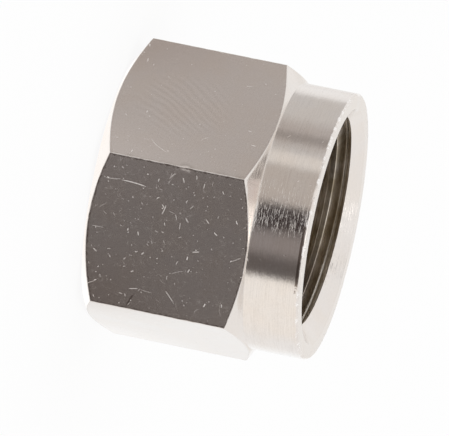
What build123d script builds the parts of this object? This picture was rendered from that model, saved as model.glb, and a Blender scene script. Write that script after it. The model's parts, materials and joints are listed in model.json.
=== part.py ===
from build123d import *

import os
from math import radians, sqrt, tan

# A union nut for a compression fitting, in millimetres. It slides over the tube, its inner
# cone presses the cutting ring, and its thread draws both onto the fitting's body.
# It is one piece of hexagon bar, turned and bored, and stands on its closed end.
# +Z runs along the thread's axis to the open end, and two flats face -Y and +Y.

# Tube and cutting ring
tube_diameter = 10.0
tube_clearance = 0.15
ring_space = 3.0

# Metric fine thread, bored at its minor diameter
thread_pitch = 1.5
minor_depth_in_pitches = 0.54127
countersink_margin = 0.35
countersink_angle = 45.0
relief_width = 1.8
relief_margin = 0.1
relief_angle = 45.0

# Closed end: a land round the tube, and the cone that bears on the cutting ring
land_length = 3.2
seat_angle = 45.0
entry_chamfer = 0.4

# Hexagon
wall_at_flats = 1.5
hexagon_length = 11.6
base_face_inset = 0.3
base_chamfer_angle = 32.0

# Round collar at the open end
collar_length = 3.9
collar_step = 0.1
shoulder_angle = 30.0
collar_edge_break = 0.12

# How far the turned outline runs out past the hexagon's corners
turning_overrun = 1.0

# Radii that follow from the tube outward
bore_radius = tube_diameter / 2 + tube_clearance
major_radius = tube_diameter / 2 + ring_space
minor_radius = major_radius - minor_depth_in_pitches * thread_pitch
relief_radius = major_radius + relief_margin
countersink_radius = major_radius + countersink_margin
flat_distance = major_radius + wall_at_flats
collar_radius = flat_distance - collar_step
base_face_radius = flat_distance - base_face_inset
corner_radius = 2 * flat_distance / sqrt(3)
outline_radius = corner_radius + turning_overrun

# Heights from the closed end upward
overall_length = hexagon_length + collar_length
base_chamfer_top = (outline_radius - base_face_radius) * tan(radians(base_chamfer_angle))
shoulder_start = hexagon_length - (outline_radius - collar_radius) * tan(radians(shoulder_angle))
seat_top = land_length + (minor_radius - bore_radius) / tan(radians(seat_angle))
relief_top = seat_top + relief_width
thread_start = relief_top + (relief_radius - minor_radius) / tan(radians(relief_angle))
thread_end = overall_length - (countersink_radius - minor_radius) / tan(radians(countersink_angle))


with BuildPart() as union_nut:
    # Hexagon bar over the whole length
    with BuildSketch():
        RegularPolygon(flat_distance, 6, major_radius=False)
    extrude(amount=overall_length)

    # Turned outside: a chamfer round the closed end, the shoulder and the collar
    with BuildSketch(Plane.XZ):
        with BuildLine():
            Polyline(
                (0, 0),
                (base_face_radius, 0),
                (outline_radius, base_chamfer_top),
                (outline_radius, shoulder_start),
                (collar_radius, hexagon_length),
                (collar_radius, overall_length - collar_edge_break),
                (collar_radius - collar_edge_break, overall_length),
                (0, overall_length),
                close=True,
            )
        make_face()
    revolve(axis=Axis.Z, mode=Mode.INTERSECT)

    # Bored inside: tube land, seat cone, thread relief, thread bore and countersink
    with BuildSketch(Plane.XZ):
        with BuildLine():
            Polyline(
                (0, 0),
                (bore_radius + entry_chamfer, 0),
                (bore_radius, entry_chamfer),
                (bore_radius, land_length),
                (minor_radius, seat_top),
                (relief_radius, seat_top),
                (relief_radius, relief_top),
                (minor_radius, thread_start),
                (minor_radius, thread_end),
                (countersink_radius, overall_length),
                (0, overall_length),
                close=True,
            )
        make_face()
    revolve(axis=Axis.Z, mode=Mode.SUBTRACT)

union_nut.part.label = "union_nut"

os.makedirs("parts", exist_ok=True)
export_step(union_nut.part, "parts/union_nut.step")
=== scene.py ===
import json
import math

import bmesh
import bpy
from bpy.props import FloatProperty, FloatVectorProperty, PointerProperty
from bpy.types import Operator, Panel, PropertyGroup
from mathutils import Matrix, Vector, noise


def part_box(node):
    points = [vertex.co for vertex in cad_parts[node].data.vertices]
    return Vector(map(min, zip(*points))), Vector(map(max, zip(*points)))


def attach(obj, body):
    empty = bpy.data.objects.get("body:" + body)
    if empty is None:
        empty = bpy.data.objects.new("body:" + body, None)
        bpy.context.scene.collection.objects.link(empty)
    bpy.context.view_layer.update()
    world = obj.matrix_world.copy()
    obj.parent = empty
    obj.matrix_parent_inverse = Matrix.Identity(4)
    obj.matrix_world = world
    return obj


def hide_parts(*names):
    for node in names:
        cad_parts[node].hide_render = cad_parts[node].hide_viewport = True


bl_info = {
    "name": "Union nut",
    "version": (1, 0, 0),
    "blender": (4, 5, 0),
    "location": "View3D > Sidebar > Union nut",
    "description": "A nickel plated union nut for a compression fitting, on a white studio table",
    "category": "Object",
}

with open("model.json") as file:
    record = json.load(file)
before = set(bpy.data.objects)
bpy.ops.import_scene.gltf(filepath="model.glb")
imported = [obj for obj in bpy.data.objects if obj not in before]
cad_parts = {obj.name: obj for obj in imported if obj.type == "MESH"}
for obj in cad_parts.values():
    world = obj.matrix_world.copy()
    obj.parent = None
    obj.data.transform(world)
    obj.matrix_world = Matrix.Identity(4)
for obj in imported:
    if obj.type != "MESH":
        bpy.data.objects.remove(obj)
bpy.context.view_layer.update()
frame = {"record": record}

NODE = "union_nut"
MM = 0.001
MICRON = 0.000001

# The hexagon's sides, and the angles round the axis that they take up, with a corner at angle 0
SIDES = 6
FULL_TURN = 2 * math.pi
ONE_SIDE = FULL_TURN / SIDES
HALF_SIDE = ONE_SIDE / 2

# An internal metric thread's depth in pitches, and where its crest and root lie, in shares of the
# pitch from where a crest begins
THREAD_DEPTH = 0.54127
CREST_END = 1 / 4
ROOT_START = 9 / 16
ROOT_END = 11 / 16
CENTRE_OF_ROOT = (ROOT_START + ROOT_END) / 2

WHITE = (1.0, 1.0, 1.0)

# A tint of the nickel, the tones that wear lays over it, and the tones of painted shade, painted light and a
# painted highlight
WARMER = (1.0, 0.975, 0.945)
SCRATCH_WHITE = (0.93, 0.88, 0.85)
BURR_WHITE = (0.93, 0.9, 0.88)
# Painted shade and painted light for the flats near the base
BROWN_PAINTED_SHADE = (0.5, 0.4, 0.34)
PAINTED_LIGHT_TONE = (0.95, 0.9, 0.87)
# A painted highlight for the bottom of a groove in the bore
GROOVE_HIGHLIGHT = (0.98, 0.93, 0.86)

# The CAD node gives the outside, and the record's mounts give the bores
node_low, node_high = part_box(NODE)
mounts = {mount["name"]: mount for mount in frame["record"]["mounts"]}


def wall_span(name):
    """Lowest and highest end of a bore's wall, in metres along the axis."""
    middle = mounts[name]["pos_m"][2]
    half = mounts[name]["dims"]["length_mm"] * MM / 2
    return middle - half, middle + half


def wall_radius(name):
    """Radius of a bore's wall, in metres."""
    return mounts[name]["dims"]["r_mm"] * MM


def length(name, default, description):
    """A size in metres that a user can change."""
    return FloatProperty(
        name=name, description=description, default=default, min=0, unit="LENGTH", precision=5
    )


def angle(name, degrees, description):
    """An angle that a user can change, given in degrees and kept in radians."""
    default = math.radians(degrees)
    return FloatProperty(name=name, description=description, default=default, subtype="ANGLE")


def share(name, default, description):
    """A strength or share without a unit."""
    return FloatProperty(name=name, description=description, default=default, min=0, soft_max=1)


def colour(name, default, description):
    """A linear colour."""
    return FloatVectorProperty(
        name=name, description=description, default=default, size=3, min=0, max=1, subtype="COLOR"
    )


class NutSizes(PropertyGroup):
    """Sizes of the nut, the outer ones from the CAD node."""

    across_flats: length("Across flats", node_high.y - node_low.y, "Distance between two opposite flats")
    overall_length: length("Length", node_high.z - node_low.z, "From the closed end to the open end")
    base_face_inset: length("Base face inset", 0.3 * MM, "How far the base face's rim lies inside the flats")
    base_chamfer: angle("Base chamfer", 32, "Slope of the chamfer round the closed end")
    collar_length: length("Collar length", 3.9 * MM, "Length of the round collar")
    collar_step: length("Collar step", 0.1 * MM, "How far the collar lies inside the flats")
    shoulder: angle("Shoulder", 30, "Slope of the cone between hexagon and collar")
    edge_break: length("Edge break", 0.12 * MM, "Chamfer on the collar's outer edge")
    countersink_margin: length("Countersink margin", 0.35 * MM, "How far the countersink passes the groove")
    pitch: length("Pitch", 1.5 * MM, "Pitch of the thread")
    first_turn: length("First turn", 1.14 * MM, "Height of the groove's first turn above the relief's floor")
    relief_margin: length("Relief margin", 0.1 * MM, "How far the relief passes the groove")
    corner_rounding: length("Corner rounding", 0.07 * MM, "Radius along the hexagon's six edges")
    edge_rounding: length("Edge rounding", 0.05 * MM, "Radius along the turned edges")
    nick_depth: length("Nick depth", 0.035 * MM, "Depth of the nicks along the edges")


class NutFinish(PropertyGroup):
    """Colours and surface finish of the plated brass."""

    nickel: colour("Nickel", (0.79, 0.745, 0.71), "Colour of the plating outside")
    tarnish: colour("Tarnish", (0.36, 0.3, 0.215), "Colour of the thin plating inside the bore")
    # The stain colour is also used as painted shade on the bore's crests
    stain_and_shade: colour("Stain", (0.26, 0.21, 0.18), "Colour of the dirt in dents and along the edges")
    flat_roughness: share("Flat roughness", 0.2, "Roughness of the hexagon's drawn flats")
    turned_roughness: share("Turned roughness", 0.13, "Roughness of the turned faces")
    bore_roughness: share("Bore roughness", 0.3, "Roughness of the thread and the bore")
    scratch_roughness: share("Scratch roughness", 0.55, "Roughness inside a scratch")
    scratch_scatter: share("Scratch scatter", 0.75, "How much a scratch scatters light instead of mirroring")
    scratch_depth: length("Scratch depth", 6 * MICRON, "Depth of the scratches on the flats")
    groove_depth: length("Groove depth", 3 * MICRON, "Depth of the turning grooves")


class StudioSettings(PropertyGroup):
    """Camera, table and the studio that the metal mirrors."""

    azimuth: angle("Azimuth", -19.7, "Camera's place round the nut, 0 in front of a flat")
    elevation: angle("Elevation", 10.54, "Camera's height above the table")
    roll: angle("Roll", 101.53, "Turn of the camera about its line of sight")
    distance: length("Distance", 0.8, "From the camera to the nut")
    view_width: length("View width", 31.15 * MM, "Width of the picture at the nut")
    aim_right: length("Aim right", 0.078 * MM, "How far the nut's middle lies right of the picture's middle")
    aim_up: length("Aim up", 0.893 * MM, "How far the nut's middle lies above the picture's middle")
    table: colour("Table", (0.9, 0.9, 0.9), "Colour of the white table")
    shade: share("Shade", 0.12, "How much of the nut's shadow the white table shows")


class Value:
    """A node's output. Python's operators on it add Math nodes."""

    def __init__(self, tree, socket):
        self.tree = tree
        self.socket = socket

    def __getitem__(self, name):
        return Value(self.tree, self.socket.node.outputs[name])

    def __add__(self, other):
        return self.tree.math("ADD", self, other)

    def __sub__(self, other):
        return self.tree.math("SUBTRACT", self, other)

    def __mul__(self, other):
        return self.tree.math("MULTIPLY", self, other)

    def __truediv__(self, other):
        return self.tree.math("DIVIDE", self, other)

    def __radd__(self, other):
        return self.tree.math("ADD", other, self)

    def __rsub__(self, other):
        return self.tree.math("SUBTRACT", other, self)

    def __rmul__(self, other):
        return self.tree.math("MULTIPLY", other, self)

    def __rtruediv__(self, other):
        return self.tree.math("DIVIDE", other, self)

    def __lt__(self, other):
        return self.tree.math("LESS_THAN", self, other)

    def __abs__(self):
        return self.tree.math("ABSOLUTE", self)

    def floor(self):
        return self.tree.math("FLOOR", self)

    def sine(self):
        return self.tree.math("SINE", self)

    def cosine(self):
        return self.tree.math("COSINE", self)

    def power(self, other):
        return self.tree.math("POWER", self, other)

    def maximum(self, other):
        return self.tree.math("MAXIMUM", self, other)

    def minimum(self, other):
        return self.tree.math("MINIMUM", self, other)

    def ramp(self, start, end, low=0.0, high=1.0):
        """low before start, high after end, and a smooth step between them."""
        settings = {"interpolation_type": "SMOOTHSTEP"}
        inputs = {"Value": self, "From Min": start, "From Max": end, "To Min": low, "To Max": high}
        return self.tree.node("ShaderNodeMapRange", settings, inputs)


class Tree:
    """A node tree that is filled by expressions."""

    def __init__(self, owner):
        owner.use_nodes = True
        self.nodes = owner.node_tree.nodes
        self.links = owner.node_tree.links
        self.nodes.clear()

    def node(self, kind, settings=None, inputs=None, output=0):
        """Adds a node: its settings first, then the values or links of its sockets."""
        added = self.nodes.new(kind)
        for name, value in (settings or {}).items():
            setattr(added, name, value)
        for name, value in (inputs or {}).items():
            if isinstance(value, Value):
                self.links.new(value.socket, added.inputs[name])
            else:
                added.inputs[name].default_value = value
        return Value(self, added.outputs[output]) if len(added.outputs) else None

    def math(self, operation, *values):
        return self.node("ShaderNodeMath", {"operation": operation}, dict(enumerate(values)))

    def vector(self, x, y, z):
        return self.node("ShaderNodeCombineXYZ", inputs={"X": x, "Y": y, "Z": z})

    def position(self, scale):
        """x, y and z on the piece in its own frame, times scale."""
        place = self.node("ShaderNodeTexCoord")["Object"]
        scaled = self.node("ShaderNodeVectorMath", {"operation": "SCALE"}, {0: place, "Scale": scale})
        parts = self.node("ShaderNodeSeparateXYZ", inputs={0: scaled})
        return parts["X"], parts["Y"], parts["Z"]

    def noise(self, place, scale, detail=2.0, roughness=0.5):
        """Smooth noise from 0 to 1."""
        inputs = {"Vector": place, "Scale": scale, "Detail": detail, "Roughness": roughness}
        return self.node("ShaderNodeTexNoise", inputs=inputs)

    def dice(self, x, y, z):
        """Three random numbers for each whole-numbered cell."""
        rolled = self.node("ShaderNodeTexWhiteNoise", inputs={"Vector": self.vector(x, y, z)}, output=1)
        parts = self.node("ShaderNodeSeparateColor", inputs={0: rolled})
        return parts["Red"], parts["Green"], parts["Blue"]

    def blend(self, factor, first, second):
        """first where factor is 0 and second where it is 1."""
        inputs = {"Factor": factor, 6: first, 7: second}
        return self.node("ShaderNodeMix", {"data_type": "RGBA"}, inputs, output=2)

    def bump(self, height, distance, normal=None):
        """A normal for a relief: its height from 0 to 1, and how many metres 1 stands for."""
        inputs = {"Height": height, "Distance": distance}
        if normal is not None:
            inputs["Normal"] = normal
        return self.node("ShaderNodeBump", inputs=inputs)

    def metal(self, base, metallic, roughness, normal):
        """The plated surface, joined to the output."""
        inputs = {"Base Color": base, "Metallic": metallic, "Roughness": roughness, "Normal": normal}
        surface = self.node("ShaderNodeBsdfPrincipled", inputs=inputs)
        self.node("ShaderNodeOutputMaterial", inputs={"Surface": surface})


def soft_window(value, start, end, softness):
    """1 between start and end, 0 outside, with soft edges of a width of softness."""
    rise = value.ramp(start - softness / 2, start + softness / 2)
    fall = value.ramp(end - softness / 2, end + softness / 2, 1.0, 0.0)
    return rise * fall


def opaque(tone):
    """A colour as a colour socket takes it, with an alpha of 1."""
    return [*tone, 1.0]


def round_the_axis(tree, x, y):
    """Distance from the nut's axis and the angle round it."""
    distance = (x * x + y * y).power(0.5)
    return distance, tree.math("ARCTAN2", y, x)


def three_places(turn, shift):
    """1 at three places round the axis, down to -1 halfway between them."""
    return ((turn + shift) * 3).cosine()


def scratches(tree, across, along, cell, reach, width, present, seed):
    """Short scratches, at most one in each cell and turned at random: 1 in the deepest."""
    column = across / cell
    row = along / cell
    turn, shift_across, shift_along = tree.dice(column.floor(), row.floor(), seed)
    size, chance, depth = tree.dice(column.floor(), row.floor(), seed + 0.5)
    room = 1 - reach
    local_across = column - column.floor() - 0.5 - (shift_across - 0.5) * room
    local_along = row - row.floor() - 0.5 - (shift_along - 0.5) * room
    way = turn * math.pi
    lengthwise = local_across * way.cosine() + local_along * way.sine()
    bend = lengthwise * lengthwise * (turn - 0.5) * 2.4
    sidewise = local_along * way.cosine() - local_across * way.sine() + bend
    half = (size * 0.8 + 0.2) * reach * 0.5
    inside = (abs(lengthwise) / half).ramp(1.0, 0.3)
    narrow = abs(sidewise).ramp(width / cell, 0.0)
    return inside * narrow * (chance < present) * (depth.power(4) * 0.85 + 0.12)


def stroke(tree, across, along, mark):
    """One scratch at a known place: 1 in its middle line, times its strength."""
    middle_across, middle_along, degrees, half, width, bend, strength = mark
    way = math.radians(degrees)
    to_across, to_along = across - middle_across, along - middle_along
    lengthwise = to_across * math.cos(way) + to_along * math.sin(way)
    sidewise = to_along * math.cos(way) - to_across * math.sin(way) + lengthwise * lengthwise * bend
    return abs(lengthwise).ramp(half, half * 0.5) * abs(sidewise).ramp(width, 0.0, 0.0, strength)


def plated_colour(tree, nickel, place, strength):
    """The nickel's colour with faint warm patches."""
    warm = [channel * tint for channel, tint in zip(nickel, WARMER)]
    patches = tree.noise(place, 0.45, 3.0).ramp(0.35, 0.65)
    return tree.blend(patches * strength, opaque(nickel), opaque(warm))


# The hexagon's sides are numbered from -3 to 2, in the order of their angles round the axis
FRONT_SIDE = -2
UPPER_SIDE = -3

# Random scratches on the flats, coarse and fine, in millimetres: shift across and shift up, cell,
# share of the cell that a scratch takes, half width, share of cells with one, and seed
SCRATCH_LAYERS = (
    (0.0, 0.0, 1.3, 0.8, 0.04, 0.35, 3.0),
    (0.4, 0.3, 0.62, 0.65, 0.036, 0.35, 11.0),
    (0.2, 0.0, 0.37, 0.4, 0.04, 0.35, 23.0),
    (0.0, 0.7, 3.1, 0.8, 0.035, 0.3, 31.0),
)

# The scratches that stand out on the front flat, in millimetres and degrees: middle across the
# flat, middle height, way, half length, half width, bend and strength
BRIGHT_MARKS = (
    (-3.66, 3.1, 85.4, 0.98, 0.042, 0.06, 1.0),
    (-3.65, 1.55, 96.0, 0.62, 0.04, -0.1, 0.4),
    (-2.40, 5.32, 33.0, 0.16, 0.04, 0.0, 0.9),
    (-2.16, 5.42, -16.0, 0.42, 0.04, 0.15, 0.9),
    (-4.68, 5.65, -38.0, 0.32, 0.06, 0.0, 0.35),
    (-1.81, 6.31, 24.0, 0.22, 0.035, 0.0, 0.7),
    (-1.22, 6.66, -1.0, 0.28, 0.035, 0.2, 0.7),
    (-4.93, 7.39, 10.0, 0.18, 0.04, 0.9, 0.7),
    (-4.43, 7.97, -8.0, 0.22, 0.04, 0.0, 0.8),
    (0.40, 8.0, 104.0, 0.3, 0.042, 0.0, 0.9),
    (0.97, 7.47, -5.0, 0.15, 0.055, 0.0, 1.0),
    (1.86, 7.68, -25.0, 0.15, 0.045, 0.0, 0.9),
    (3.93, 4.0, 101.6, 0.36, 0.038, 0.0, 0.75),
    (3.95, 4.9, 85.0, 0.5, 0.035, -0.2, 0.3),
    (3.99, 6.6, 41.8, 0.58, 0.038, 0.0, 0.75),
    (4.10, 9.1, -22.0, 0.16, 0.05, 0.0, 1.0),
    (3.89, 10.3, 0.0, 0.14, 0.05, 0.0, 0.9),
    (2.1, 6.9, 113.0, 0.55, 0.035, 0.25, 0.3),
    (0.39, 10.85, 120.0, 0.45, 0.04, 0.0, 0.35),
    (-0.02, 0.95, 91.0, 0.5, 0.035, 0.0, 0.4),
    (-0.09, 3.83, 15.0, 0.16, 0.045, 0.5, 0.9),
    (-0.24, 3.08, -10.0, 0.1, 0.055, 0.0, 0.8),
    (-4.2, 4.76, 170.0, 0.14, 0.04, 0.0, 0.8),
    (-4.55, 6.5, 21.0, 0.23, 0.045, 0.3, 0.8),
    (0.34, 4.85, 21.0, 0.13, 0.035, 0.0, 0.5),
    (1.7, 0.98, 56.0, 0.2, 0.05, 0.0, 0.75),
    (1.25, 3.83, 81.0, 0.07, 0.055, 0.0, 0.8),
    (1.27, 4.33, 139.0, 0.14, 0.045, 0.0, 0.9),
    (1.57, 3.51, 87.0, 0.14, 0.04, 0.0, 0.4),
    (-1.74, 7.09, 36.0, 0.2, 0.055, 0.0, 0.75),
    (-2.73, 7.3, 143.0, 0.22, 0.04, 0.0, 0.4),
    (0.55, 10.53, 139.0, 0.08, 0.05, 0.0, 0.8),
    (3.48, 1.57, 22.0, 0.15, 0.04, 0.0, 0.5),
    (1.93, 2.06, 43.0, 0.12, 0.05, 0.0, 0.5),
    (-4.6, 2.16, 59.0, 0.11, 0.06, 0.0, 0.4),
    (4.51, 3.48, 29.0, 0.13, 0.04, 0.0, 0.6),
    (-5.32, 6.55, 84.0, 0.4, 0.14, 0.5, 0.25),
)

# The one dark gouge among them, and the few scratches on the flat above
DARK_MARK = (4.8, 3.85, -22.0, 0.62, 0.1, 0.0, 1.0)
UPPER_MARKS = (
    (-4.79, 1.04, 12.0, 0.16, 0.07, 0.0, 0.9),
    (-3.42, 1.3, 5.0, 0.2, 0.06, 0.0, 0.6),
    (-2.86, 8.72, 100.0, 0.25, 0.06, 0.0, 0.4),
)


def random_scratches(tree, across, along, battered):
    """All layers of random scratches on the flats: from 0 to 1, more of them where battered."""
    marks = 0.0
    for shift_across, shift_up, cell, reach, width, present, seed in SCRATCH_LAYERS:
        column, row = across + shift_across, along + shift_up
        layer = scratches(tree, column, row, cell, reach, width, battered * present, seed)
        marks = layer.maximum(marks)
    return marks


def flats_material(finish, shape):
    """Drawn and milled flats: fine grain, faint mill marks, and scratches from tumbling in a box."""
    material = bpy.data.materials.new("nickel_flats")
    tree = Tree(material)
    x, y, z = tree.position(1 / MM)
    distance, turn = round_the_axis(tree, x, y)
    side = (turn / ONE_SIDE).floor()
    from_middle = turn - side * ONE_SIDE - HALF_SIDE
    local = distance * from_middle.sine()
    unlike_the_next = side * 37.0
    across = local + unlike_the_next
    place = tree.vector(across, z, side)

    # The flats were knocked about unequally, the front one most of all
    battered = (side * 1.9 + 5.37).sine() * 0.45 + 0.5
    marks = random_scratches(tree, across, z, battered)
    on_front = abs(side - FRONT_SIDE) < 0.5
    on_upper = abs(side - UPPER_SIDE) < 0.5
    seen = marks
    for known_marks, on_side in ((BRIGHT_MARKS, on_front), (UPPER_MARKS, on_upper)):
        for mark in known_marks:
            seen = seen.maximum(stroke(tree, local, z, mark) * on_side)
    gouge = stroke(tree, local, z, DARK_MARK) * on_front
    hair_lines = abs(tree.noise(place, 2.2, 1.0) - 0.5).ramp(0.014, 0.0)
    hairs = hair_lines * tree.noise(place, 0.9, 1.0).ramp(0.4, 0.6)

    # A ragged line of burrs and dirt runs round each flat, next to chamfer, shoulder and corners
    to_base = z - (distance - shape.base_radius / MM) * math.tan(shape.sizes.base_chamfer)
    rise = (distance - shape.collar_radius / MM) * math.tan(shape.sizes.shoulder)
    to_shoulder = shape.collar_start / MM - rise - z
    to_corner = shape.flat / MM * math.tan(HALF_SIDE) - abs(local)
    margin = to_base.minimum(to_shoulder).minimum(to_corner)
    ragged = tree.noise(place, 4.5, 2.0, 0.6)
    dark_band = (margin + (ragged - 0.5) * 0.4).ramp(0.17, 0.06) * (battered * battered * 0.8)
    burr = margin.ramp(0.07, 0.02) * tree.noise(place, 1.3, 2.0).ramp(0.3, 0.5) * (battered * 0.5 + 0.35)

    # Fine grain from drawing, and the bent lines that the mill left in the middle
    grain = tree.noise(tree.vector(across * 1.6, z * 0.5, side), 5.0, 3.0, 0.6)
    bent = z * z * 0.065
    lines = (across * 1.7 - z * 0.5 - bent + tree.noise(place, 0.4, 1.0) * 1.6) * FULL_TURN
    mill_height = 4.8
    from_height = z - mill_height
    off_middle = local * local / 8 + from_height * from_height / 11
    mill = (lines.sine() * 0.5 + 0.5) * off_middle.ramp(1.4, 0.3) * (1 - battered)
    peel = tree.noise(place, 2.2, 2.0)
    speckle = tree.noise(place, 9.0, 2.0, 0.7)

    scatter = seen.maximum(burr) * finish.scratch_scatter + hairs * battered * 0.16
    rougher = finish.scratch_roughness - finish.flat_roughness
    roughness = finish.flat_roughness + (grain - 0.5) * 0.08 + seen * rougher
    relief = tree.bump(grain, 1.0 * MICRON)
    relief = tree.bump(mill, 5.0 * MICRON, relief)
    relief = tree.bump(peel, 4.0 * MICRON, relief)
    relief = tree.bump(1 - marks, finish.scratch_depth, relief)
    base = plated_colour(tree, finish.nickel, place, 0.6)

    # Near the base, painted shade makes the plating browner and darker beside every other corner, and
    # painted light makes it brighter beside the rest
    painted_shade_and_light = (side * math.pi).cosine() * local * (z / 11 - 1)
    base = tree.blend(painted_shade_and_light.ramp(0.0, -5.0, 0.0, 0.35), base, opaque(BROWN_PAINTED_SHADE))
    base = tree.blend(painted_shade_and_light.ramp(0.0, 5.0, 0.0, 0.6), base, opaque(PAINTED_LIGHT_TONE))
    base = tree.blend((speckle - 0.4) * 0.35 + gouge * 0.85 + dark_band, base, opaque(finish.stain_and_shade))
    base = tree.blend(scatter, base, opaque(SCRATCH_WHITE))
    tree.metal(base, 1 - scatter, roughness, relief)
    return material


def turned_grooves(tree, x, y, z, distance, spacing, spread):
    """Turning grooves: noise from 0 to 1, drawn out round the axis, less so with more spread."""
    profile = (distance + z) / spacing
    place = tree.vector(x / distance * spread, y / distance * spread, profile)
    return tree.noise(place, 1.0, 2.0, 0.6)


def turned_material(finish, shape):
    """Turned faces: grooves round the axis that break the mirror image into streaks."""
    material = bpy.data.materials.new("nickel_turned")
    tree = Tree(material)
    x, y, z = tree.position(1 / MM)
    distance, turn = round_the_axis(tree, x, y)
    place = tree.vector(x, y, z)
    fine = turned_grooves(tree, x, y, z, distance, 0.07, 3.0)
    coarse = turned_grooves(tree, x, y, z, distance, 0.22, 5.0)
    short = turned_grooves(tree, x, y, z, distance, 0.12, 16.0)
    marks = scratches(tree, turn * 9.0, distance + z, 0.8, 0.6, 0.045, 0.5, 5.0)
    peel = tree.noise(place, 1.6, 2.0)
    speckle = tree.noise(place, 9.0, 2.0, 0.7)

    # Three stretches of the collar were rubbed by the chuck's jaws
    jaw_shift = 1.96
    inside_wall = (shape.countersink + shape.collar_radius) / 2 / MM
    on_collar = (1 - (z < shape.collar_start / MM)) * (1 - (distance < inside_wall))
    rubbed = three_places(turn, jaw_shift).ramp(0.7, 0.88) * on_collar
    torn = turned_grooves(tree, x, y, z, distance, 0.085, 18.0).ramp(0.5, 0.75)

    # Burrs stand on the open end's outer edge, and a broken dark line runs beside it
    edge = (distance + z) - (shape.collar_radius + shape.top - shape.sizes.edge_break) / MM
    beads = tree.noise(place, 2.2, 2.0, 0.6)
    burr = edge.ramp(-0.1, -0.03) * beads.ramp(0.5, 0.62)
    beside = soft_window(edge, -0.26, -0.07, 0.06) * (z < shape.top / MM - 0.05)
    dark_band_shift = 1.653
    darker_in_three_places = three_places(turn, dark_band_shift).ramp(0.4, 0.95)
    broken = tree.noise(place, 1.6, 3.0, 0.7)
    dark_band = beside * (broken + darker_in_three_places * 0.4).ramp(0.68, 0.76)

    roughness = finish.turned_roughness + (fine - 0.5) * 0.08 + marks * 0.35
    relief = tree.bump(fine, finish.groove_depth)
    relief = tree.bump(coarse, finish.groove_depth * 2.4, relief)
    relief = tree.bump(short, finish.groove_depth * 1.6, relief)
    relief = tree.bump(torn * rubbed, finish.groove_depth * 1.3, relief)
    relief = tree.bump(peel, 4.0 * MICRON, relief)
    relief = tree.bump(1 - marks, finish.scratch_depth, relief)
    base = plated_colour(tree, finish.nickel, place, 0.6)
    streaks = ((short - 0.45) * 0.2 + (fine - 0.5) * 0.28) * on_collar
    base = tree.blend((speckle - 0.4) * 0.2 + streaks + dark_band * 0.9, base, opaque(finish.stain_and_shade))
    scatter = burr * 0.8
    base = tree.blend(scatter, base, opaque(BURR_WHITE))
    tree.metal(base, 1 - scatter, roughness, relief)
    return material


def bore_material(finish, shape):
    """Thread and bore: thin, browned plating over tap marks, darkest at the countersink's edge.

    On one side a painted highlight lies along the bottom of the uppermost groove, with painted shade on the
    crests there."""
    material = bpy.data.materials.new("nickel_bore")
    tree = Tree(material)
    x, y, z = tree.position(1 / MM)
    distance, turn = round_the_axis(tree, x, y)
    place = tree.vector(x, y, z)
    tap = turned_grooves(tree, x, y, z, distance, 0.1, 4.0)
    stains = tree.noise(place, 0.8, 4.0, 0.6).ramp(0.3, 0.7)
    light = [0.5 * (a + b) for a, b in zip(finish.tarnish, finish.nickel)]
    base = tree.blend(stains, opaque(finish.tarnish), opaque(light))
    below = distance - z + (shape.top - shape.countersink) / MM
    lip = (below + (tree.noise(place, 3.0, 2.0) - 0.5) * 0.2).ramp(0.22, 0.05, 0.0, 0.75)
    base = tree.blend(lip, base, opaque(finish.stain_and_shade))

    # A painted highlight along the bottom of the uppermost groove on one side, and painted shade on the
    # crests there
    highlight_turn = 0.17
    groove_reach = 2.3
    one_side = (turn - highlight_turn).cosine().ramp(0.6, 0.85)
    height = (z - shape.groove_start / MM) / (shape.sizes.pitch / MM)
    turns_up = height - turn / FULL_TURN + CENTRE_OF_ROOT
    phase = turns_up - turns_up.floor()
    at_bottom = 1 - (distance < shape.major / MM - 0.1)
    uppermost = 1 - (z < shape.top / MM - groove_reach)
    painted_groove_highlight = soft_window(phase, 0.545, 0.615, 0.03) * at_bottom * one_side * uppermost
    # Painted shade darkens the crests on that side
    crest = distance.ramp(shape.minor / MM + 0.2, shape.minor / MM + 0.1) * one_side
    base = tree.blend(crest * 0.6, base, opaque(finish.stain_and_shade))
    base = tree.blend(painted_groove_highlight, base, opaque(GROOVE_HIGHLIGHT))
    roughness = finish.bore_roughness + (tap - 0.5) * 0.15
    relief = tree.bump(tap, finish.groove_depth * 1.5)
    tree.metal(base, 1 - painted_groove_highlight, roughness, relief)
    return material


def hexagon_radius(turn, flat_distance, rounding):
    """Distance from the axis to the hexagon's outline, whose corners are rounded."""
    from_flat = turn % ONE_SIDE - HALF_SIDE
    tangent = (flat_distance - rounding) * math.tan(HALF_SIDE)
    if abs(from_flat) <= math.atan2(tangent, flat_distance):
        return flat_distance / math.cos(from_flat)
    from_corner = HALF_SIDE - abs(from_flat)
    middle = (flat_distance - rounding) / math.cos(HALF_SIDE)
    sideways = middle * math.sin(from_corner)
    return middle * math.cos(from_corner) + math.sqrt(rounding**2 - sideways**2)


def column_angles():
    """Angles of the mesh's columns: close together beside the hexagon's corners, even between them."""
    # In degrees from one corner to the next
    sector = 60
    after_corner = [0.0, 0.13, 0.27, 0.45, 0.75, 1.2]
    before_corner = [sector - a for a in reversed(after_corner[1:])]
    first, last = after_corner[-1], sector - after_corner[-1]
    steps = 50
    between = [first + (last - first) * i / steps for i in range(1, steps)]
    columns = after_corner + between + before_corner
    return [math.radians(sector * side + a) for side in range(SIDES) for a in columns]


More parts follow.
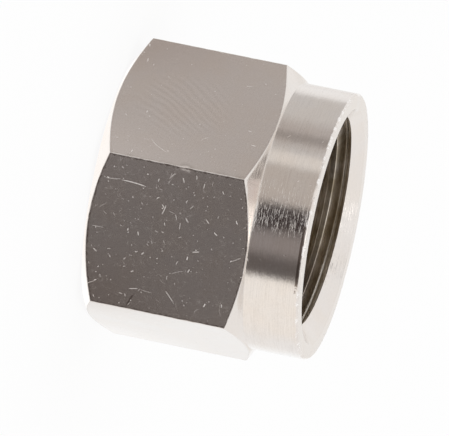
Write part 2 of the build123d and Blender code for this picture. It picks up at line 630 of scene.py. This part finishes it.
def rounded_outline(corners, steps):
    """Points along straight pieces whose corners are rounded, with the zone of each piece.

    corners is a list of (radius, height, rounding, pieces, zone). pieces and zone describe the
    straight stretch that leads to the next corner. The first and the last have no rounding."""
    outline = []
    for index, (r, z, rounding, pieces, zone) in enumerate(corners):
        here = Vector((r, z))
        if not rounding:
            arc = [here]
        else:
            before = (Vector(corners[index - 1][:2]) - here).normalized()
            after = (Vector(corners[index + 1][:2]) - here).normalized()
            half = before.angle(after) / 2
            reach = rounding / math.tan(half)
            middle = here + (before + after).normalized() * (rounding / math.sin(half))
            start, end = here + before * reach - middle, here + after * reach - middle
            sweep = start.angle_signed(end)
            turns = [Matrix.Rotation(-sweep * k / steps, 2) for k in range(steps + 1)]
            arc = [middle + turn @ start for turn in turns]
        if outline:
            last, last_zone, last_pieces = outline[-1]
            for k in range(1, last_pieces):
                outline.append((last.lerp(arc[0], k / last_pieces), last_zone, 1))
        outline += [(point, zone, 1) for point in arc[:-1]] + [(arc[-1], zone, pieces)]
    return [(point, zone) for point, zone, _ in outline]


def thread_profile(phase, minor, major):
    """Radius of an internal metric thread at a share of its pitch, 0 where a crest begins."""
    depth = major - minor
    if phase < CREST_END:
        return minor
    if phase < ROOT_START:
        return minor + depth * (phase - CREST_END) / (ROOT_START - CREST_END)
    if phase < ROOT_END:
        return major
    return major - depth * (phase - ROOT_END) / (1 - ROOT_END)


def noise_spot(turn, height):
    """Where the noise of wear is read, in millimetres, on a ring near the nut's surface."""
    ring = 9
    return Vector((math.cos(turn) * ring, math.sin(turn) * ring, height))


class NutShape:
    """Radii and heights of the nut, worked out from its sizes."""

    def __init__(self, sizes):
        self.sizes = sizes
        self.flat = sizes.across_flats / 2
        self.top = sizes.overall_length
        self.base_radius = self.flat - sizes.base_face_inset
        self.collar_radius = self.flat - sizes.collar_step
        self.collar_start = self.top - sizes.collar_length
        self.minor = wall_radius("thread")
        self.major = self.minor + THREAD_DEPTH * sizes.pitch
        self.countersink = self.major + sizes.countersink_margin
        self.relief = self.major + sizes.relief_margin
        self.bore = wall_radius("tube_bore")
        self.entry, self.land_top = wall_span("tube_bore")
        self.seat_top = self.land_top + self.minor - self.bore
        thread_start, _ = wall_span("thread")
        self.relief_top = thread_start - (self.relief - self.minor)
        self.groove_start = self.seat_top + sizes.first_turn

    def outside(self, turn):
        """Outline from the base face's inner edge, up the outside, to the countersink's rim."""
        sizes = self.sizes
        hexagon = hexagon_radius(turn, self.flat, sizes.corner_rounding)
        chamfer_top = (hexagon - self.base_radius) * math.tan(sizes.base_chamfer)
        shoulder_start = self.collar_start - (hexagon - self.collar_radius) * math.tan(sizes.shoulder)
        edge = sizes.edge_rounding
        return rounded_outline(
            [
                (self.bore + self.entry, 0, 0, 5, "turned"),
                (self.base_radius, 0, edge, 5, "turned"),
                (hexagon, chamfer_top, edge, 44, "flats"),
                (hexagon, shoulder_start, edge / 4, 5, "turned"),
                (self.collar_radius, self.collar_start, edge / 4, 14, "turned"),
                (self.collar_radius, self.top - sizes.edge_break, edge, 1, "turned"),
                (self.collar_radius - sizes.edge_break, self.top, edge, 4, "turned"),
                (self.countersink + edge, self.top, 0, 1, "turned"),
                (self.countersink, self.top, 0, 0, "turned"),
            ],
            steps=3,
        )

    def inside(self):
        """Outline from the relief's top edge, down the inside, to the base face's inner edge."""
        edge = self.sizes.edge_rounding
        return rounded_outline(
            [
                (self.relief, self.relief_top, 0, 4, "bore"),
                (self.relief, self.seat_top, edge, 2, "bore"),
                (self.minor, self.seat_top, edge, 6, "bore"),
                (self.bore, self.land_top, edge, 6, "bore"),
                (self.bore, self.entry, edge, 2, "bore"),
                (self.bore + self.entry, 0, 0, 0, "bore"),
            ],
            steps=2,
        )

    def thread_radius(self, height, turn):
        """Radius of the endless thread, right-handed, at a height."""
        turns_up = (height - self.groove_start) / self.sizes.pitch
        phase = (turns_up - turn / FULL_TURN + CENTRE_OF_ROOT) % 1
        return thread_profile(phase, self.minor, self.major)

    def cut_radius(self, height, turn):
        """Radius to which the relief below and the countersink above cut the thread away.

        The countersink wavers a little where it runs out, so its inner edge is ragged."""
        depth = self.top - height
        spot = noise_spot(turn, 4.0)
        waver = (noise.noise(spot * 1.1) * 0.6 + noise.noise(spot * 2.3)) * self.sizes.nick_depth * 3
        way_in = min(1.0, depth / (self.countersink - self.minor))
        sink = self.countersink - depth + waver * way_in**3
        return max(self.relief - (height - self.relief_top), sink)


# The one dent on a corner: its angle, its middle and half its height in millimetres, and its depth
# in nick depths
DENT_TURN = 4 * ONE_SIDE
DENT_HEIGHT = 6.55
DENT_HALF = 0.45
DENT_DEPTH = 1.6


def worn(point, turn, shape):
    """A point on the outline, moved by the nicks and dents that lie along the edges."""
    r, z = point
    sizes = shape.sizes
    spot = noise_spot(turn, z / MM)
    from_corner = abs((turn + HALF_SIDE) % ONE_SIDE - HALF_SIDE)
    reach = math.radians(1.0)
    if r > shape.flat and from_corner < reach:
        near = 1 - from_corner / reach
        nick = max(0.0, noise.noise(spot * 1.9) - 0.1) + 0.35 * max(0.0, noise.noise(spot * 5.1))
        if abs(turn - DENT_TURN) < HALF_SIDE:
            nick += DENT_DEPTH * max(0.0, 1 - abs(z / MM - DENT_HEIGHT) / DENT_HALF)
        r -= sizes.nick_depth * near * nick
    beside = sizes.edge_break * 1.5
    if z > shape.top - beside and abs(r - shape.collar_radius) < beside:
        bead = sizes.nick_depth * max(0.0, noise.noise(spot * 2.7) * 0.5)
        z -= bead
        r -= bead
    return r, z


# Heights of the points along the thread's profile, in shares of the pitch: close together beside
# each of its edges
ROW_SHARES = (
    0.0, 0.02, 0.12, 0.23, 0.25, 0.27, 0.37, 0.47, 0.545,
    0.5625, 0.58, 0.67, 0.6875, 0.705, 0.8, 0.89, 0.98,
)


def mouth_heights(shape, turn):
    """Heights of the rows up the threaded mouth in one column.

    The rows climb with the thread, so that its edges stay clean. Where relief or countersink cut
    the thread, the nearest row moves onto that edge and its neighbours come close."""
    pitch = shape.sizes.pitch
    first = shape.groove_start + (turn / FULL_TURN - CENTRE_OF_ROOT) * pitch
    lowest = math.floor((shape.relief_top - shape.groove_start) / pitch) - 1
    highest = math.ceil((shape.top - shape.groove_start) / pitch) + 1
    rows = [first + (whole + part) * pitch for whole in range(lowest, highest) for part in ROW_SHARES]

    close = 0.03 * MM
    step = 0.02 * MM
    edges = [shape.relief_top + close, shape.top - close]
    samples = int((shape.top - shape.relief_top) / step) + 1
    heights = [shape.relief_top + step * k for k in range(samples)]
    gaps = [shape.thread_radius(height, turn) - shape.cut_radius(height, turn) for height in heights]
    for height, gap, next_gap in zip(heights, gaps, gaps[1:]):
        if (gap > 0) != (next_gap > 0):
            edges.append(height + step * gap / (gap - next_gap))
    for edge in edges:
        nearest = min(range(len(rows)), key=lambda row: abs(rows[row] - edge))
        rows[nearest] = edge
        rows[nearest - 1] = max(rows[nearest - 1], edge - close)
        rows[nearest + 1] = min(rows[nearest + 1], edge + close)
    return rows


ZONES = ("flats", "turned", "bore")


def add_face(mesh, corners, zone):
    """A face between the corners that differ, if three or more do, in the material of its zone."""
    kept = [point for index, point in enumerate(corners) if point not in corners[:index]]
    if len(kept) > 2:
        made = mesh.faces.new(kept)
        made.material_index = ZONES.index(zone)
        made.smooth = True


def split_on_edge(corners, on_edge):
    """A face of four corners, in two if the thread's edge runs between opposite ones."""
    if corners[0] in on_edge and corners[2] in on_edge:
        return [corners[:3], [corners[0], *corners[2:]]]
    if corners[1] in on_edge and corners[3] in on_edge:
        return [[corners[0], corners[1], corners[3]], corners[1:]]
    return [corners]


def build_nut(shape):
    """The nut's closed mesh: one column of points for each angle, joined all the way round."""
    mesh = bmesh.new()

    def add(turn, r, z):
        return mesh.verts.new((r * math.cos(turn), r * math.sin(turn), z))

    angles = column_angles()
    snap = 0.005 * MM
    middle = (shape.relief_top + shape.top) / 2
    inside = shape.inside()
    zones = [zone for _, zone in shape.outside(0)], [zone for _, zone in inside]
    columns, mouths = [], []
    countersunk, on_edge = set(), set()
    for turn in angles:
        outer = [add(turn, *worn(point, turn, shape)) for point, _ in shape.outside(turn)]
        inner = [add(turn, *point) for point, _ in inside[:-1]]
        columns.append((outer, inner + [outer[0]]))
        countersunk.add(outer[-1])
        mouth = []
        for height in mouth_heights(shape, turn):
            if height < shape.relief_top + snap:
                mouth.append(inner[0])
            elif height > shape.top - snap:
                mouth.append(outer[-1])
            else:
                thread, cut = shape.thread_radius(height, turn), shape.cut_radius(height, turn)
                point = add(turn, max(thread, cut), height)
                mouth.append(point)
                if height > middle and thread < cut + snap:
                    countersunk.add(point)
                if abs(thread - cut) < snap:
                    on_edge.add(point)
        mouths.append(mouth)

    for here in range(len(angles)):
        there = (here + 1) % len(angles)
        for this, other, names in zip(columns[here], columns[there], zones):
            for row in range(len(this) - 1):
                add_face(mesh, [this[row], other[row], other[row + 1], this[row + 1]], names[row])
        this, other = mouths[here], mouths[there]
        climb = len(ROW_SHARES) if there == 0 else 0
        last = len(other) - 1
        for row in range(len(this) - 1):
            low, high = min(row + climb, last), min(row + 1 + climb, last)
            corners = [this[row + 1], other[high], other[low], this[row]]
            for piece in split_on_edge(corners, on_edge):
                add_face(mesh, piece, "turned" if countersunk.issuperset(piece) else "bore")
    bmesh.ops.recalc_face_normals(mesh, faces=mesh.faces)
    return mesh


class UNIONNUT_OT_nut(Operator):
    """Build the nut with its thread, and let it stand for the plain solid"""

    bl_idname = "union_nut.nut"
    bl_label = "Nut"

    def execute(self, context):
        settings = context.scene
        shape = NutShape(settings.nut_sizes)
        data = bpy.data.meshes.new("nut")
        mesh = build_nut(shape)
        open_edges = sum(1 for edge in mesh.edges if not edge.is_manifold)
        if open_edges:
            raise RuntimeError(f"the nut's mesh has {open_edges} open edges")
        mesh.to_mesh(data)
        mesh.free()
        finish = settings.nut_finish
        for make in (flats_material, turned_material, bore_material):
            data.materials.append(make(finish, shape))
        nut = bpy.data.objects.new("nut", data)
        context.collection.objects.link(nut)
        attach(nut, "root")
        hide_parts(NODE)
        return {"FINISHED"}


# Heights that the upright faces mirror: from, to and softness in degrees
UPRIGHT = (-40.0, 3.0, 10.0)

# The studio's cards, later ones in front: bearings from, to and softness, the same of heights, and tone
CARDS = (
    ((40.0, 118.0, 30.0), (-60.0, 3.0, 10.0), (1.05, 1.025, 0.99)),
    ((150.0, 174.0, 12.0), UPRIGHT, (1.045, 1.06, 1.07)),
    ((-176.0, -154.0, 14.0), UPRIGHT, (0.92, 0.91, 0.9)),
    ((-12.0, 48.0, 12.0), (58.0, 73.0, 4.0), (1.6, 1.6, 1.6)),
    ((4.0, 50.0, 10.0), (58.0, 69.5, 3.0), (2.4, 2.35, 2.3)),
    ((-48.0, -10.0, 14.0), (58.0, 72.0, 4.0), (0.88, 0.82, 0.82)),
    ((-64.0, -46.0, 10.0), (52.0, 68.0, 4.0), (0.28, 0.265, 0.26)),
    ((-80.0, -60.0, 8.0), (52.0, 63.0, 4.0), (0.28, 0.265, 0.26)),
    ((-132.0, -8.0, 14.0), UPRIGHT, (0.665, 0.65, 0.64)),
    ((-90.0, -62.0, 18.0), UPRIGHT, (0.53, 0.492, 0.473)),
    ((-77.0, -68.0, 8.0), UPRIGHT, (0.37, 0.342, 0.325)),
    ((-56.0, -44.0, 7.0), UPRIGHT, (0.83, 0.796, 0.76)),
    ((-43.0, -8.0, 6.0), UPRIGHT, (0.56, 0.52, 0.49)),
    ((-9.5, 22.0, 9.0), (-28.0, -4.0, 5.0), (0.05, 0.038, 0.038)),
    ((12.0, 54.5, 8.0), UPRIGHT, (0.135, 0.12, 0.116)),
    ((14.0, 34.0, 14.0), UPRIGHT, (0.3, 0.272, 0.267)),
)


def studio_light(studio):
    """The studio round the table: bright all over, with cards of other tones that the metal mirrors.

    Bearings are given from the camera, in degrees, positive to the side that the picture shows
    lowest. Upright faces mirror what lies a little below the horizon, and the countersink mirrors
    what lies high."""
    world = bpy.data.worlds.new("studio")
    bpy.context.scene.world = world
    tree = Tree(world)
    direction = tree.node("ShaderNodeTexCoord")["Generated"]
    parts = tree.node("ShaderNodeSeparateXYZ", inputs={0: direction})
    toward = (math.sin(studio.azimuth), -math.cos(studio.azimuth))
    aside = (math.cos(studio.azimuth), math.sin(studio.azimuth))
    to_camera = parts["X"] * toward[0] + parts["Y"] * toward[1]
    to_side = parts["X"] * aside[0] + parts["Y"] * aside[1]
    in_degrees = 180 / math.pi
    bearing = tree.math("ARCTAN2", to_side, to_camera) * in_degrees
    height = tree.math("ARCSINE", parts["Z"]) * in_degrees

    sky = opaque(WHITE)
    for bearings, heights, tone in CARDS:
        card = soft_window(bearing, *bearings) * soft_window(height, *heights)
        sky = tree.blend(card, sky, opaque(tone))

    # Opposite the camera, a pale card above the horizon and a bright one below it
    opposite = abs(bearing).ramp(150.0, 165.0)
    above, below = soft_window(height, 4.0, 17.0, 6.0), height.ramp(-13.0, -24.0)
    sky = tree.blend(opposite * above, sky, opaque((0.93, 0.915, 0.895)))
    sky = tree.blend(opposite * below, sky, opaque((1.25, 1.25, 1.25)))

    camera_ray = tree.node("ShaderNodeLightPath")["Is Camera Ray"]
    sky = tree.blend(camera_ray, sky, opaque(WHITE))
    background = tree.node("ShaderNodeBackground", inputs={"Color": sky, "Strength": 1.0})
    tree.node("ShaderNodeOutputWorld", inputs={"Surface": background})


def table_material(studio):
    """White table that shows white to the camera and keeps a faint shadow."""
    material = bpy.data.materials.new("white_table")
    tree = Tree(material)
    camera_ray = tree.node("ShaderNodeLightPath")["Is Camera Ray"]
    white = tree.node("ShaderNodeEmission", inputs={"Color": opaque(WHITE), "Strength": 1.0})
    paper = tree.node("ShaderNodeBsdfDiffuse", inputs={"Color": opaque(studio.table)})
    factor = camera_ray * (1 - studio.shade)
    surface = tree.node("ShaderNodeMixShader", inputs={0: factor, 1: paper, 2: white})
    tree.node("ShaderNodeOutputMaterial", inputs={"Surface": surface})
    return material


def table_top(studio):
    """The table that the nut stands on, just under its base."""
    half = 2.0
    below = -0.02 * MM
    data = bpy.data.meshes.new("table")
    mesh = bmesh.new()
    ends = ((-half, -half), (half, -half), (half, half), (-half, half))
    mesh.faces.new([mesh.verts.new((x, y, below)) for x, y in ends])
    mesh.to_mesh(data)
    mesh.free()
    data.materials.append(table_material(studio))
    table = bpy.data.objects.new("table", data)
    table.visible_glossy = False
    bpy.context.collection.objects.link(table)


def camera(studio, middle):
    """A long lens at the photograph's angle, turned about its line of sight."""
    data = bpy.data.cameras.new("camera")
    data.sensor_width = 36.0
    data.lens = data.sensor_width * studio.distance / studio.view_width
    data.clip_start, data.clip_end = 0.01, 10.0
    across, up = math.cos(studio.elevation), math.sin(studio.elevation)
    back = Vector((math.sin(studio.azimuth) * across, -math.cos(studio.azimuth) * across, up))
    level_right = Vector((math.cos(studio.azimuth), math.sin(studio.azimuth), 0))
    level_up = back.cross(level_right)
    right = level_right * math.cos(studio.roll) + level_up * math.sin(studio.roll)
    upward = back.cross(right)
    aim = middle - right * studio.aim_right - upward * studio.aim_up
    turned = Matrix((right, upward, back)).transposed().to_4x4()
    made = bpy.data.objects.new("camera", data)
    made.matrix_world = Matrix.Translation(aim + back * studio.distance) @ turned
    bpy.context.collection.objects.link(made)
    bpy.context.scene.camera = made


class UNIONNUT_OT_studio(Operator):
    """Set the white table, the studio light and the camera"""

    bl_idname = "union_nut.studio"
    bl_label = "Studio"

    def execute(self, context):
        studio = context.scene.studio_settings
        table_top(studio)
        studio_light(studio)
        camera(studio, (node_low + node_high) / 2)
        context.scene.view_settings.view_transform = "Standard"
        return {"FINISHED"}


class UNIONNUT_PT_sidebar(Panel):
    """Buttons and sizes of the union nut"""

    bl_idname = "UNIONNUT_PT_sidebar"
    bl_label = "Union nut"
    bl_space_type = "VIEW_3D"
    bl_region_type = "UI"
    bl_category = "Union nut"

    def draw(self, context):
        layout = self.layout
        for operator in (UNIONNUT_OT_nut, UNIONNUT_OT_studio):
            layout.operator(operator.bl_idname)
        for group in (context.scene.nut_sizes, context.scene.nut_finish, context.scene.studio_settings):
            box = layout.box()
            for name in group.__annotations__:
                box.prop(group, name)


CLASSES = (NutSizes, NutFinish, StudioSettings, UNIONNUT_OT_nut, UNIONNUT_OT_studio, UNIONNUT_PT_sidebar)


def register():
    for added in CLASSES:
        bpy.utils.register_class(added)
    bpy.types.Scene.nut_sizes = PointerProperty(type=NutSizes)
    bpy.types.Scene.nut_finish = PointerProperty(type=NutFinish)
    bpy.types.Scene.studio_settings = PointerProperty(type=StudioSettings)


def unregister():
    del bpy.types.Scene.studio_settings
    del bpy.types.Scene.nut_finish
    del bpy.types.Scene.nut_sizes
    for added in reversed(CLASSES):
        bpy.utils.unregister_class(added)


def main():
    register()
    bpy.ops.union_nut.nut()
    bpy.ops.union_nut.studio()


if __name__ == "__main__":
    main()
